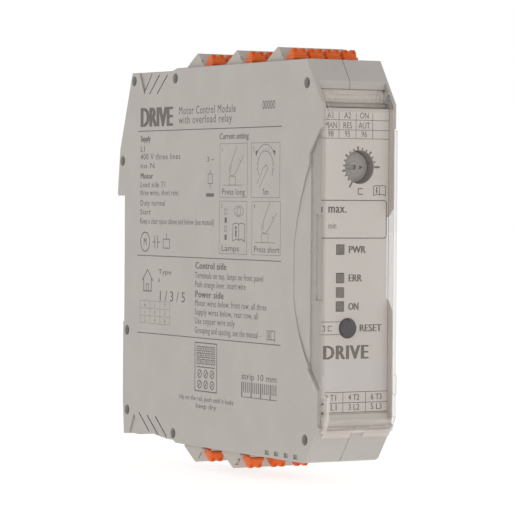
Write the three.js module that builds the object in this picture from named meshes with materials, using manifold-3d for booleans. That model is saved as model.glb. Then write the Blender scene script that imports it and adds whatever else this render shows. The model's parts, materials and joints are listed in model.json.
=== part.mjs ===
// Slim electronic motor starter with overload protection, clipped to a 35 mm top-hat rail.
// Millimetres. Origin: centre of the rail seat. +Z up, the front of the object faces -Y.
import * as THREE from 'three';
import { mergeVertices } from 'three/addons/utils/BufferGeometryUtils.js';
import Module from 'manifold-3d';

const wasm = await Module();
wasm.setup();

// ---------------------------------------------------------------- driving dimensions

const halfWidth = 11.25;          // half of the 22.5 mm module width
const wall = 1.05;                // side wall thickness
const innerHalf = halfWidth - wall;
const edgeRadius = 0.3;           // rounding of the edges round the side walls
const seamX = -0.6;               // parting plane of the two housing shells
const seamGap = 0.3;
const topZ = 53.4;                // top edge of the housing walls
const bottomZ = -50.6;            // bottom edge of the housing walls
const plateY = -107.2;            // printed face of the front panel
const rim = 1;                    // thickness of the front panel and its rims

const rail = { hookZ: 18, lipZ: 15.6, lipHalf: 8.5, backY: 3.9, lipY: 1.7, floorY: -0.4, padHalf: 15.3 };
const foot = { half: 8.3, gap: 0.3, frontY: -4.8, topZ: -18.6, bottomZ: -50.3 };
const hinge = { y: -106.7, z: 43.5, knuckle: 1.6, rod: 0.9, pin: 0.8, pinReach: 10.7 };
const cover = { half: 11, wall: 0.7, frontY: -110.6, plate: 0.8, shoulderZ: 35.2, chinZ: -38.7 };
const dial = { x: 1.2, z: 25.7, well: 4.4, disc: 4.1, faceY: -104.6, backY: -103.1 };
const reset = { x: -2.06, z: -15.7, cap: 2.35, hole: 2.65, frontY: -108.3 };
const lamp = { x: -4.4, half: 1.12, tall: 1.2, gap: 0.12, heights: [4.5, -2.8, -6.5, -10.1] };

const blockDepth = { front: -9.7, rear: 6.5, bottom: -16, half: 9.95 };
const topRow = { ridges: [-84.45, -62.85, -41.25], ridgeZ: 57.1, poles: 4, pitch: 5.08, funnel: 1.6 };
const bottomRow = { ridges: [-62.4, -41.3], ridgeZ: -55.1, poles: 3, pitch: 7.2, funnel: 1.9 };
const shoulder = -3.75;           // flat of a terminal block, below its ridge
const trough = { front: -8.9, rear: -3.5, floor: -5.4 };

const board = { x0: -8.2, x1: -6.6, y0: -97.5, y1: -9, z0: -37.5, z1: 39 };
const frontBoard = { y0: -101.5, y1: -99.9, half: 8.9, z: 38.5 };
const seated = board.x1 + 0.3;    // where components start, just off the main board

// ---------------------------------------------------------------- solids

// Closed geometry as a solid that can be joined and cut.
function solid(geometry) {
  const bare = geometry.clone();
  bare.deleteAttribute('normal');
  bare.deleteAttribute('uv');
  const merged = mergeVertices(bare, 1e-5);
  return new wasm.Manifold(new wasm.Mesh({
    numProp: 3,
    vertProperties: new Float32Array(merged.attributes.position.array),
    triVerts: new Uint32Array(merged.index.array),
  }));
}

function toGeometry(shape) {
  const mesh = shape.getMesh();
  const geometry = new THREE.BufferGeometry();
  geometry.setAttribute('position', new THREE.BufferAttribute(new Float32Array(mesh.vertProperties), 3));
  geometry.setIndex(new THREE.BufferAttribute(new Uint32Array(mesh.triVerts), 1));
  geometry.computeVertexNormals();
  return geometry;
}

const join = (first, ...more) => more.reduce((sum, shape) => sum.add(shape), first);
const cut = (base, ...tools) => tools.reduce((rest, tool) => rest.subtract(tool), base);

function box(x0, x1, y0, y1, z0, z1) {
  const geometry = new THREE.BoxGeometry(x1 - x0, y1 - y0, z1 - z0);
  geometry.translate((x0 + x1) / 2, (y0 + y1) / 2, (z0 + z1) / 2);
  return solid(geometry);
}

// Prism whose outline lies across the named axis, from one place on that axis to another.
// rounding is the radius of the edges round both of its ends.
function prism(axis, outline, from, to, rounding = 0) {
  const shape = new THREE.Shape(outline.map(([u, v]) => new THREE.Vector2(u, v)));
  const geometry = new THREE.ExtrudeGeometry(shape, {
    depth: to - from - 2 * rounding,
    bevelEnabled: rounding > 0,
    bevelThickness: rounding,
    bevelSize: rounding,
    bevelOffset: -rounding,
    bevelSegments: 3,
  });
  geometry.translate(0, 0, rounding);
  if (axis === 'x') {
    geometry.applyMatrix4(new THREE.Matrix4().set(0, 0, 1, from, 1, 0, 0, 0, 0, 1, 0, 0, 0, 0, 0, 1));
  } else if (axis === 'y') {
    geometry.applyMatrix4(new THREE.Matrix4().set(1, 0, 0, 0, 0, 0, -1, to, 0, 1, 0, 0, 0, 0, 0, 1));
  } else {
    geometry.translate(0, 0, from);
  }
  return solid(geometry);
}

// Round bar along the named axis; u and v are its centre on the two other axes, in x, y, z order.
function bar(axis, u, v, radius, from, to, endRadius = radius, sides = 16) {
  const geometry = new THREE.CylinderGeometry(endRadius, radius, to - from, sides);
  geometry.translate(0, (from + to) / 2, 0);
  if (axis === 'x') {
    geometry.rotateZ(-Math.PI / 2);
    geometry.translate(0, u, v);
  } else if (axis === 'y') {
    geometry.translate(u, 0, v);
  } else {
    geometry.rotateX(Math.PI / 2);
    geometry.translate(u, v, 0);
  }
  return solid(geometry);
}

const mirrored = (build) => [build(-1), build(1)];
const sideBox = (side, in0, out0, ...rest) =>
  side < 0 ? box(-out0, -in0, ...rest) : box(in0, out0, ...rest);

// ---------------------------------------------------------------- housing

// Side view of the closed housing, (y, z), from the lower front corner round by the back.
const housingOutline = [
  [-108.6, -41.1], [-106.1, -43.9], [-101.6, -50.1], [-100.3, bottomZ],
  [-31.7, bottomZ], [-30, -49.9], [-26.3, -49.9], [-16.9, -48.9], [-3, -50], [-0.6, -50.2],
  [rail.floorY + 0.6, -39.6], [rail.floorY + 0.6, -rail.hookZ],
  [rail.floorY, -rail.hookZ], [rail.floorY, rail.hookZ],
  [rail.backY, rail.hookZ], [rail.backY, 19.9], [2.6, 31.4], [-4.7, 52.9],
  [-28.5, 52.7], [-31.2, topZ], [-101.25, topZ], [-107.25, 44.4], [-109, 41.8], [-109, -40.6],
];

const cavityOutline = [
  [-103, -41.6], [-100.3, -49.3], [-34, -49.3], [-32, -47.6], [-6.5, -47.6],
  [-6.5, 20], [-3.4, 31], [-7.2, 51.3], [-29, 51.3], [-32, 52.1], [-100.7, 52.1], [-103, 48.6],
];

// What the closed cover takes out of the side walls, seen from the side.
const coverZone = [
  [-112, 35.6], [-108.2, 35.6], [-102.8, 29.1], [-102.8, -26.4], [-107.7, -31.6],
  [-107.7, -40.6], [-109.2, -41.4], [-112, -41.4],
];

// Shallow finger dish behind the cover: an arc in the side wall, deepest at its front edge.
const dish = { topY: -107.6, topZ: 35, bottomY: -103.4, bottomZ: -26.2, pullY: -84.4, pullZ: -1.5 };

function fingerDish(side) {
  const arc = new THREE.QuadraticBezierCurve(new THREE.Vector2(dish.topY, dish.topZ),
    new THREE.Vector2(dish.pullY, dish.pullZ), new THREE.Vector2(dish.bottomY, dish.bottomZ));
  const outline = arc.getPoints(12).map((p) => [p.x, p.y]);
  const area = prism('x', [...outline, [-110, dish.bottomZ], [-110, dish.topZ]], -12, 12);
  const slope = [
    [halfWidth - 0.12, -95.4], [halfWidth - 0.6, -103], [halfWidth - 0.6, -111], [13, -111], [13, -95.4],
  ];
  return area.intersect(prism('z', slope.map(([x, y]) => [side * x, y]), -28, 36));
}

// Round moulding holes near the rim of both side walls, blind, (y, z).
const rimHoles = [
  [-6, 50.6], [-30.5, 50.6], [0.9, 28], [-101.4, 47.2], [-2.4, -20.4], [-2.7, -43.2], [-30.4, -48],
  [-101.5, -44.5],
];

function rimHole(side, [y, z]) {
  const tool = bar('x', y, z, 1.45, halfWidth - 1.9, halfWidth + 1, 1.45, 20);
  return side > 0 ? tool : tool.mirror([1, 0, 0]);
}

function rimBoss(side, [y, z]) {
  const tool = bar('x', y, z, 2.3, innerHalf - 1.6, halfWidth, 2.3, 14);
  return side > 0 ? tool : tool.mirror([1, 0, 0]);
}

// A straight groove between two points of the side wall.
function groove(side, [y0, z0], [y1, z1], width = 0.4, deep = 0.45) {
  const length = Math.hypot(y1 - y0, z1 - z0);
  const geometry = new THREE.BoxGeometry(deep + 1, length, width);
  geometry.rotateX(Math.atan2(z1 - z0, y1 - y0));
  geometry.translate(side * (halfWidth - deep + (deep + 1) / 2), (y0 + y1) / 2, (z0 + z1) / 2);
  return solid(geometry);
}

const louvreLines = [
  [[-16.7, 52.3], [-12, 46.8]], [[-21.2, 51.9], [-15.3, 46.7]], [[-25.9, 51.7], [-19.8, 46.6]],
  [[-10.1, -43.6], [-16.3, -48.5]], [[-15, -44], [-21.7, -49.1]], [[-19.9, -44], [-26.7, -49.3]],
];
const louvrePockets = [
  [[-8.8, 53.4], [-12.2, 46.7], [-14.9, 53.4]],
  [[-3.4, -51], [-6.9, -44.1], [-14.5, -51]],
];
const ventSlots = [-12, -16.5, -21];

function sideDetails(side) {
  return [
    ...rimHoles.map((place) => rimHole(side, place)),
    ...louvreLines.map(([a, b]) => groove(side, a, b)),
    ...louvrePockets.map((outline) => prism('x', outline, side > 0 ? halfWidth - 0.5 : -12,
      side > 0 ? 12 : 0.5 - halfWidth)),
    fingerDish(side),
  ];
}

// Four small square windows low in the side wall, ahead of the lower terminal blocks.
const lowWindows = [-96.9, -92.1, -87.1, -82.3].map((y) =>
  box(-12, 12, y - 1.05, y + 1.05, bottomZ + 0.75, bottomZ + 1.9));

function blockBay(row, ridge) {
  const clear = 0.3;
  const side = Math.sign(row.ridgeZ);
  const depth = [side * 46, side * 60].sort((a, b) => a - b);
  return box(-innerHalf, innerHalf, ridge + blockDepth.front - clear, ridge + blockDepth.rear + clear,
    ...depth);
}

function housing() {
  const outer = prism('x', housingOutline, -halfWidth, halfWidth, edgeRadius);
  const walls = cut(
    outer,
    prism('x', cavityOutline, -innerHalf, innerHalf),
    box(-innerHalf, innerHalf, -112, -102.9, -40.2, 41),
    box(-innerHalf, innerHalf, -112, -104.3, 41, 45.7),
    box(-innerHalf, innerHalf, -112, -105, 45.7, 47.85),
    bar('x', hinge.y, hinge.z, hinge.pin + 0.15, -innerHalf - 0.6, innerHalf + 0.6),
  );
  const bosses = mirrored((side) => join(...rimHoles.map((place) => rimBoss(side, place))).intersect(outer));
  const { lipHalf, lipY, backY, lipZ, hookZ, floorY, padHalf } = rail;
  const hookLip = box(-lipHalf, lipHalf, lipY, backY, lipZ, hookZ + 0.5);
  const seatPad = box(-lipHalf, lipHalf, floorY - 1, 0, -padHalf, padHalf);
  return cut(
    join(walls, ...bosses, hookLip, seatPad),
    ...topRow.ridges.map((ridge) => blockBay(topRow, ridge)),
    ...bottomRow.ridges.map((ridge) => blockBay(bottomRow, ridge)),
    prism('x', coverZone, -12, 12),
    box(-foot.half - foot.gap, foot.half + foot.gap, foot.frontY - foot.gap, 6, -60, foot.topZ + foot.gap),
    ...ventSlots.map((y) => box(-7, 7, y - 0.6, y + 0.6, 45, 60)),
    ...mirrored((side) => join(...sideDetails(side))),
    ...lowWindows,
  );
}

function shellHalf(body, side) {
  const half = side < 0
    ? box(-20, seamX - seamGap / 2, -130, 20, -80, 80)
    : box(seamX + seamGap / 2, 20, -130, 20, -80, 80);
  return body.intersect(half);
}

// ---------------------------------------------------------------- front panel and cover

function frontPanel() {
  const edge = innerHalf - 0.1;
  const back = -98;
  const plate = box(-edge, edge, plateY, plateY + rim, -40, 40.8);
  const sides = mirrored((side) => sideBox(side, edge - rim, edge, plateY, back, -39.8, 40.6));
  const caps = [
    box(-edge, edge, plateY, -104.5, 39.9, 40.8),
    box(-edge, edge, plateY, -103.3, -40, -39.1),
  ];
  const collar = bar('y', dial.x, dial.z, dial.well + 0.8, plateY + rim / 2, -102.9, dial.well + 0.8, 24);
  const guide = bar('y', reset.x, reset.z, reset.hole + 0.7, plateY + rim / 2, -105.9);
  const sideRecess = mirrored((side) =>
    sideBox(side, edge - 0.5, edge + 1, plateY - 1, -104.4, -8.6, 13.4));
  return cut(
    join(plate, ...sides, ...caps, collar, guide),
    bar('y', dial.x, dial.z, dial.well, plateY - 1, -102, dial.well, 24),
    bar('y', reset.x, reset.z, reset.hole, plateY - 1, -105),
    ...lamp.heights.map((z) => box(lamp.x - lamp.half - lamp.gap, lamp.x + lamp.half + lamp.gap,
      plateY - 1, plateY + rim + 1, z - lamp.tall - lamp.gap, z + lamp.tall + lamp.gap)),
    ...sideRecess,
  );
}

// Clear cover: front pane, side skirts, sloped chin, finger tabs and the hinge at its top.
function frontCover() {
  const { half, frontY, plate, shoulderZ, chinZ } = cover;
  const inner = half - cover.wall;
  const skirtOutline = [
    [frontY, chinZ], [-108.2, chinZ], [-108.2, -31.4], [-103.1, -26.1], [-103.1, 28.9],
    [-108.5, shoulderZ], [frontY, shoulderZ],
  ];
  const skirts = mirrored((side) => (side < 0
    ? prism('x', skirtOutline, -half, -inner)
    : prism('x', skirtOutline, inner, half)));
  const pane = box(-half, half, frontY, frontY + plate, chinZ, shoulderZ);
  const chin = prism('x', [[frontY, chinZ], [-108.95, -42.5], [-108.3, -42.5], [-109.1, -40.6],
    [frontY + plate, chinZ]], -half + 0.3, half - 0.3);
  const tongue = prism('x', [[frontY, shoulderZ - 0.4], [frontY + plate, shoulderZ - 0.4],
    [frontY + plate, 39.6], [-107.4, 42.4], [-106.7, 43.5], [-107.4, 44.7], [-108.4, 43.6],
    [frontY, 40.6]], -9.9, 9.9);
  const knuckles = mirrored((side) => {
    const reach = bar('x', hinge.y, hinge.z, hinge.knuckle, 7, 9.9);
    return side > 0 ? reach : reach.mirror([1, 0, 0]);
  });
  const rod = bar('x', hinge.y, hinge.z, hinge.rod, -9.9, 9.9);
  const pins = bar('x', hinge.y, hinge.z, hinge.pin, -hinge.pinReach, hinge.pinReach);
  const lugs = mirrored((side) => sideBox(side, inner, 11.15, frontY, -108.4, -33, -27.8));
  const tabOutline = [[-108.95, -42.2], [-107.7, -43.9], [-107.1, -43.5], [-108.3, -42.2]];
  const tabs = [prism('x', tabOutline, -9.7, -1.5), prism('x', tabOutline, 2.5, 10.3)];
  const window = box(-6.9, 6.9, -112, -108.2, 41.5, 46);
  return cut(join(pane, ...skirts, chin, tongue, ...knuckles, rod, pins, ...lugs, ...tabs), window);
}

// ---------------------------------------------------------------- controls

function settingDial() {
  const disc = bar('y', dial.x, dial.z, dial.disc, dial.faceY, dial.backY, dial.disc, 24);
  const stem = bar('y', dial.x, dial.z, 1.5, dial.backY - 0.2, -96.6);
  const slotHalf = [2.6, 0.45];
  const slot = box(dial.x - slotHalf[0], dial.x + slotHalf[0], dial.faceY - 1, dial.faceY + 0.7,
    dial.z - slotHalf[1], dial.z + slotHalf[1]);
  return cut(join(disc, stem), slot);
}

function potentiometer() {
  const body = box(dial.x - 4.7, dial.x + 4.7, frontBoard.y1 + 0.3, -94.6, dial.z - 4.7, dial.z + 4.7);
  return cut(body, bar('y', dial.x, dial.z, 1.8, -101, -96));
}

function resetButton() {
  const cap = bar('y', reset.x, reset.z, reset.cap, reset.frontY, -105.4, reset.cap, 20);
  const flange = bar('y', reset.x, reset.z, 3.1, -105.6, -104.9);
  return join(cap, flange);
}

function resetSwitch() {
  const body = box(reset.x - 3, reset.x + 3, -103.1, frontBoard.y0 - 0.1, reset.z - 3, reset.z + 3);
  return join(body, bar('y', reset.x, reset.z, 1.3, -103.6, -103));
}

function lightPipe(z) {
  const { x, half, tall } = lamp;
  return box(x - half, x + half, plateY - 0.05, -102.4, z - tall, z + tall);
}

// ---------------------------------------------------------------- terminals
// A terminal block is drawn about the middle of its ridge, with its wire side up.

const poleOffsets = (row) =>
  Array.from({ length: row.poles }, (_, i) => (i - (row.poles - 1) / 2) * row.pitch);

const stem = { half: 1.6, front: -7.2, rear: -4.6, bottom: -12, gap: 0.3 };
const chamber = { front: -8.4, rear: 3.7, top: -9, web: 0.45 };
const mouth = { y: 3.5, z: -2, lean: Math.PI / 6, flare: 1.4, flareLength: 2.64, length: 11, start: 1.5 };
const viewHole = { z: 0.3, radius: 1.25, front: -4, rear: 0.7 };

// Leaning wire entry: a round bore that opens in a short cone.
function wireFunnel(x, radius) {
  const sides = 14;
  const bore = new THREE.CylinderGeometry(radius, radius, mouth.length, sides);
  bore.translate(0, mouth.start - mouth.length / 2, 0);
  const cone = new THREE.CylinderGeometry(radius + mouth.flare, radius, mouth.flareLength, sides);
  const place = (geometry) => {
    geometry.rotateX(Math.PI / 2 - mouth.lean);
    geometry.translate(x, mouth.y, mouth.z);
    return solid(geometry);
  };
  return join(place(bore), place(cone));
}

function terminalBlock(row) {
  const { front, rear, bottom, half } = blockDepth;
  const outline = [
    [front, bottom], [rear, bottom], [rear, shoulder], [0.35, 0], [-0.15, 0],
    [trough.rear, shoulder], [trough.rear, trough.floor], [trough.front, trough.floor],
    [trough.front, shoulder], [front, shoulder],
  ];
  const chamberHalf = row.pitch / 2 - chamber.web;
  const poleCuts = poleOffsets(row).flatMap((x) => [
    box(x - chamberHalf, x + chamberHalf, chamber.front, chamber.rear, bottom - 1, chamber.top),
    box(x - stem.half - stem.gap, x + stem.half + stem.gap, stem.front - stem.gap, stem.rear + stem.gap,
      chamber.top - 1, trough.floor + 1),
    wireFunnel(x, row.funnel),
    bar('y', x, viewHole.z, viewHole.radius, viewHole.front, viewHole.rear, viewHole.radius, 12),
  ]);
  return cut(prism('x', outline, -half, half), ...poleCuts);
}

// Orange release lever: a leaning head with two horns, on a square stem.
function releaseLever() {
  const sideView = [[-8, -3.3], [-3.85, -3.3], [-3.85, -3], [-6, -0.5], [-7.05, -0.5]];
  const frontView = [
    [-2.13, -3.3], [2.13, -3.3], [1.98, -1.1], [1.6, -0.5], [0.85, -0.5], [0, -1.6],
    [-0.85, -0.5], [-1.6, -0.5], [-1.98, -1.1],
  ];
  const head = prism('x', sideView, -3, 3).intersect(prism('y', frontView, -9, -3));
  return join(head, box(-stem.half, stem.half, stem.front, stem.rear, stem.bottom, -3));
}

// Push-in clamp: a current bar with an upright and the spring leg that bites the wire.
function wireClamp() {
  const outline = [
    [-3.6, -15.6], [3.2, -15.6], [3.2, -9.8], [2.5, -9.3], [1.8, -9.8], [-2.2, -14.1], [-1.8, -14.5],
    [2.3, -10.1], [2.6, -10.3], [2.6, -15], [-3.6, -15],
  ];
  return prism('x', outline, -1.7, 1.7);
}

function pinHeader(ridge) {
  return box(seated, 9, ridge - 7, ridge + 2.4, 32.6, topRow.ridgeZ + blockDepth.bottom - 0.4);
}

// ---------------------------------------------------------------- rail latch

function dinFoot() {
  const { half, frontY, topZ: top, bottomZ: bottom } = foot;
  const outline = [
    [frontY, bottom], [-1.1, bottom], [-0.1, -39.6], [-0.1, -21.4], [1.6, -20.6], [rail.backY - 0.6, -20.6],
    [rail.backY, -19.8], [rail.backY, -17.4], [rail.lipY + 0.5, -15.7], [rail.lipY, -15.7],
    [rail.lipY, top], [frontY, top],
  ];
  const toolSlot = box(-2.2, 2.2, frontY + 0.9, 1, bottom - 1, bottom + 2);
  return cut(prism('x', outline, -half, half), toolSlot);
}

// ---------------------------------------------------------------- electronics

function relay(z) {
  return box(seated, 8.6, -37.5, -12, z, z + 12.6);
}

function capacitor(y, z) {
  return bar('x', y, z, 5, seated, 7.2, 5, 20);
}

function finnedHeatSink() {
  const base = box(-1.4, 0.4, -60, -42, -35, 4);
  const fins = [-59.2, -55.2, -51, -46.8, -42.8].map((y) => box(0, 8.8, y - 0.6, y + 0.6, -35, 4));
  return join(base, ...fins);
}

function transistorModule(z) {
  return box(seated, -1.7, -59, -43, z, z + 15);
}

function currentSensor(z) {
  return cut(bar('x', -70, z, 5.6, seated, 1.2, 5.6, 20), bar('x', -70, z, 2.2, -10, 10, 2.2, 12));
}

function supplyTransformer() {
  const core = box(seated, 6.2, -58, -44, 10, 24);
  return join(core, box(-4.4, 4.4, -60, -42, 12.4, 21.6));
}

function mainBoard() {
  const { x0, x1, y0, y1, z0, z1 } = board;
  return cut(box(x0, x1, y0, y1, z0, z1), box(x0 - 1, x1 + 1, y0 - 1, y0 + 3, 12, 40));
}

function controlBoard() {
  const { y0, y1, half, z } = frontBoard;
  return cut(box(-half, half, y0, y1, -z, z), bar('y', dial.x, dial.z, 2.4, y0 - 1, y1 + 1));
}

function boardConnector() {
  return box(seated, -1.5, -99.5, -91, -33, -23);
}

// ---------------------------------------------------------------- assembly

const finish = {
  housing: { color: 0xb5b0aa, roughness: 0.62 },
  panel: { color: 0xc6bcb8, roughness: 0.55 },
  clear: { color: 0xdfe3e2, roughness: 0.12, transparent: true, opacity: 0.3 },
  lever: { color: 0xd9642f, roughness: 0.45 },
  dial: { color: 0x979390, roughness: 0.5 },
  dark: { color: 0x4c4a52, roughness: 0.45 },
  lamp: { color: 0x78726c, roughness: 0.3 },
  board: { color: 0x1f5a3a, roughness: 0.5 },
  black: { color: 0x26262a, roughness: 0.5 },
  metal: { color: 0xb98a5a, roughness: 0.35, metalness: 1 },
  aluminium: { color: 0xb9bcc0, roughness: 0.4, metalness: 1 },
};

const starter = new THREE.Group();

function add(name, shape, look, place = {}) {
  const material = new THREE.MeshStandardMaterial({ metalness: 0, ...finish[look] });
  const mesh = new THREE.Mesh(toGeometry(shape), material);
  mesh.name = name;
  mesh.position.set(place.x ?? 0, place.y ?? 0, place.z ?? 0);
  mesh.rotation.set(0, place.turn ?? 0, 0);
  starter.add(mesh);
}

function addTerminals(row, rowName, blockNames) {
  const turn = row.ridgeZ < 0 ? Math.PI : 0;
  const block = terminalBlock(row);
  const lever = releaseLever();
  row.ridges.forEach((ridge, i) => {
    const place = { y: ridge, z: row.ridgeZ, turn };
    add(`${rowName}_terminal_${blockNames[i]}`, block, 'housing', place);
    poleOffsets(row).forEach((x, pole) => {
      const label = `${blockNames[i]}_${pole + 1}`;
      add(`${rowName}_lever_${label}`, lever, 'lever', { ...place, x });
      if (rowName === 'bottom') {
        add(`power_clamp_${label}`, wireClamp(), 'metal', { ...place, x });
      }
    });
  });
}

const housingBody = housing();
add('left_shell', shellHalf(housingBody, -1), 'housing');
add('right_shell', shellHalf(housingBody, 1), 'housing');
add('front_panel', frontPanel(), 'panel');
add('front_cover', frontCover(), 'clear');
add('din_foot', dinFoot(), 'housing');
add('setting_dial', settingDial(), 'dial');
add('potentiometer', potentiometer(), 'dark');
add('reset_button', resetButton(), 'dark');
add('reset_switch', resetSwitch(), 'black');
lamp.heights.forEach((z, i) => add(`light_pipe_${i + 1}`, lightPipe(z), 'lamp'));
addTerminals(topRow, 'top', ['front', 'middle', 'rear']);
addTerminals(bottomRow, 'bottom', ['front', 'rear']);
topRow.ridges.forEach((ridge, i) => add(`pin_header_${i + 1}`, pinHeader(ridge), 'black'));
add('main_board', mainBoard(), 'board');
add('control_board', controlBoard(), 'board');
add('board_connector', boardConnector(), 'black');
[-36, -22, -8].forEach((z, i) => add(`relay_${i + 1}`, relay(z), 'black'));
[-18, -31].forEach((y, i) => add(`capacitor_${i + 1}`, capacitor(y, 14), 'black'));
[-34, -16].forEach((z, i) => add(`transistor_module_${i + 1}`, transistorModule(z), 'black'));
add('heat_sink', finnedHeatSink(), 'aluminium');
[-26, -11].forEach((z, i) => add(`current_sensor_${i + 1}`, currentSensor(z), 'dark'));
add('supply_transformer', supplyTransformer(), 'dark');

export default starter;
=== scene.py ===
"""Looks of a slim electronic motor starter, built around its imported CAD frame.

Blender works in metres. Sizes below are millimetres, and each piece is scaled to metres when it is
finished. +Z is up, the front faces -Y, and the origin is the centre of the rail seat.
"""
import json
import math
import random
from contextlib import contextmanager

import bmesh
import bpy
from mathutils import Matrix, Vector


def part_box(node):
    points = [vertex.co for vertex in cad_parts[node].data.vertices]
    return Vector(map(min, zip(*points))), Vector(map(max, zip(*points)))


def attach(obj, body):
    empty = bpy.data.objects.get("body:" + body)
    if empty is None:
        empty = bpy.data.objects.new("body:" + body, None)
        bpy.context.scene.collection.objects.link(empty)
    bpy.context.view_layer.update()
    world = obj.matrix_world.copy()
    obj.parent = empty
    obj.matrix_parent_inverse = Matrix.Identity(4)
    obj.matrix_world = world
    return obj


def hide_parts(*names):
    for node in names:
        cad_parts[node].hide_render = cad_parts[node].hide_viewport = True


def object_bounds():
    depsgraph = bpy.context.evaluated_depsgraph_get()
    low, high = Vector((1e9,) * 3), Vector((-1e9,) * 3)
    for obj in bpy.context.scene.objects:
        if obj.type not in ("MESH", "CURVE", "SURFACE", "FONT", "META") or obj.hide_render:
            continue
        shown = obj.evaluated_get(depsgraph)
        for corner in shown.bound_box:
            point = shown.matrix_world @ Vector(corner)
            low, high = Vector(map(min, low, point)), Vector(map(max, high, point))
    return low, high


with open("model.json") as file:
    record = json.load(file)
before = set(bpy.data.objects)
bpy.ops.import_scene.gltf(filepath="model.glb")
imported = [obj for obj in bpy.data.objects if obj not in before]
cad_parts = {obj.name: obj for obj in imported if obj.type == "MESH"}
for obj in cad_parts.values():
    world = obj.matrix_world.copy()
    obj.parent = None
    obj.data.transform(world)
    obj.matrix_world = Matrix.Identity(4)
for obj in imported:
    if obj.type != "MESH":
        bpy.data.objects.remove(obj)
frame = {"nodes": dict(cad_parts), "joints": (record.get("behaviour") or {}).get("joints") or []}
cad_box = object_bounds()
nodes = frame["nodes"]

MM = 0.001
INK = 0.02  # how far a printed line stands proud
FRAME_LINE = 0.14  # width of a printed frame's line, where no other is given
CAPITAL = 0.682  # height of the font's capitals at size 1
CONDENSED = 0.78  # width of the printed letters, as a share of the font's own
RIDGE_BACK = 9.7  # from a terminal block's front to the crest of its ridge
TOP_PITCH, BOTTOM_PITCH = 5.08, 7.2  # between the poles of the terminal blocks
TOP_POLES, BOTTOM_POLES = 4, 3


def node_box(name):
    """Lowest and highest corner of a CAD node, in millimetres."""
    low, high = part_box(name)
    return low / MM, high / MM


def node_centre(name):
    low, high = node_box(name)
    return (low + high) / 2


HALF_WIDTH = -node_box("left_shell")[0].x
FACE_Y = node_box("front_panel")[0].y
PANEL_HALF = node_box("front_panel")[1].x
DIAL = node_centre("setting_dial")
RESET = node_centre("reset_button")
LAMPS = [node_centre(f"light_pipe_{i}") for i in (1, 2, 3, 4)]
TOP_BLOCKS = [node_box(f"top_terminal_{place}") for place in ("front", "middle", "rear")]
BOTTOM_BLOCKS = [node_box(f"bottom_terminal_{place}") for place in ("front", "rear")]

# the clear cover: its half width, the y of its front and back, its heights, wall and pane
COVER = {"half": 11, "front": -110.6, "back": -103.1, "hinge": 42.2, "shoulder": 35.2, "chin": -38.7,
         "wall": 0.7, "pane": 0.8, "corner": 1.0}


# ---------------- solids

def extrude(bm, outline, place, start, end):
    """Adds a closed prism to bm: place(u, v, w) puts the outline's point (u, v) at height w."""
    rings = [[bm.verts.new(place(u, v, w)) for u, v in outline] for w in (start, end)]
    faces = [bm.faces.new(ring) for ring in rings]
    for i in range(len(outline)):
        faces.append(bm.faces.new((rings[0][i - 1], rings[0][i], rings[1][i], rings[1][i - 1])))
    bmesh.ops.recalc_face_normals(bm, faces=faces)


def rectangle(u0, v0, u1, v1):
    return [(u0, v0), (u1, v0), (u1, v1), (u0, v1)]


def workpiece(bm, name="workpiece"):
    """An object in millimetres, still to be cut, joined and finished."""
    mesh = bpy.data.meshes.new(name)
    bm.to_mesh(mesh)
    bm.free()
    obj = bpy.data.objects.new(name, mesh)
    bpy.context.scene.collection.objects.link(obj)
    return obj


AXIS_PLACES = {
    "x": lambda u, v, w: (w, u, v),
    "y": lambda u, v, w: (u, w, v),
    "z": lambda u, v, w: (u, v, w),
}


def prism(axis, outline, start, end):
    """The outline, drawn in the two other axes, pulled along one axis from start to end."""
    bm = bmesh.new()
    extrude(bm, outline, AXIS_PLACES[axis], start, end)
    return workpiece(bm)


def block(x0, x1, y0, y1, z0, z1):
    return prism("z", rectangle(x0, y0, x1, y1), z0, z1)


def revolve(axis, u, v, profile, sides=48):
    """Solid of revolution: profile holds (radius, place along the axis) from one end to the other."""
    bm = bmesh.new()
    place = AXIS_PLACES[axis]
    angles = [2 * math.pi * i / sides for i in range(sides)]
    rings = []
    for radius, w in profile:
        circle = [place(u + radius * math.cos(a), v + radius * math.sin(a), w) for a in angles]
        rings.append([bm.verts.new(point) for point in circle])
    for low, high in zip(rings, rings[1:]):
        for i in range(sides):
            bm.faces.new((low[i - 1], low[i], high[i], high[i - 1]))
    bm.faces.new(rings[0])
    bm.faces.new(rings[-1])
    bmesh.ops.recalc_face_normals(bm, faces=bm.faces)
    return workpiece(bm)


def fillet(outline, radius, steps=4):
    """The outline with each corner rounded; radius is one number or one for each corner."""
    radii = [radius] * len(outline) if isinstance(radius, (int, float)) else radius
    points = [Vector(p) for p in outline]
    rounded = []
    for i, corner in enumerate(points):
        before = points[i - 1] - corner
        after = points[(i + 1) % len(points)] - corner
        if radii[i] <= 0:
            rounded.append(tuple(corner))
            continue
        half = before.angle(after) / 2
        reach = min(radii[i] / math.tan(half), before.length * 0.49, after.length * 0.49)
        start = corner + before.normalized() * reach
        end = corner + after.normalized() * reach
        for step in range(steps + 1):
            t = step / steps
            rounded.append(tuple(start * (1 - t) ** 2 + corner * 2 * t * (1 - t) + end * t * t))
    return rounded


def bake(obj):
    """Makes what the object's modifiers give its own mesh."""
    bpy.context.view_layer.update()
    shaped = obj.evaluated_get(bpy.context.evaluated_depsgraph_get())
    mesh = bpy.data.meshes.new_from_object(shaped)
    old = obj.data
    obj.modifiers.clear()
    obj.data = mesh
    bpy.data.meshes.remove(old)


def combine(base, *tools, operation="UNION"):
    """Joins the tools to the base, or cuts it with them, and removes them."""
    for tool in tools:
        modifier = base.modifiers.new("combine", "BOOLEAN")
        modifier.operation = operation
        modifier.solver = "EXACT"
        modifier.object = tool
    bake(base)
    for tool in tools:
        bpy.data.objects.remove(tool)
    return base


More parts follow.
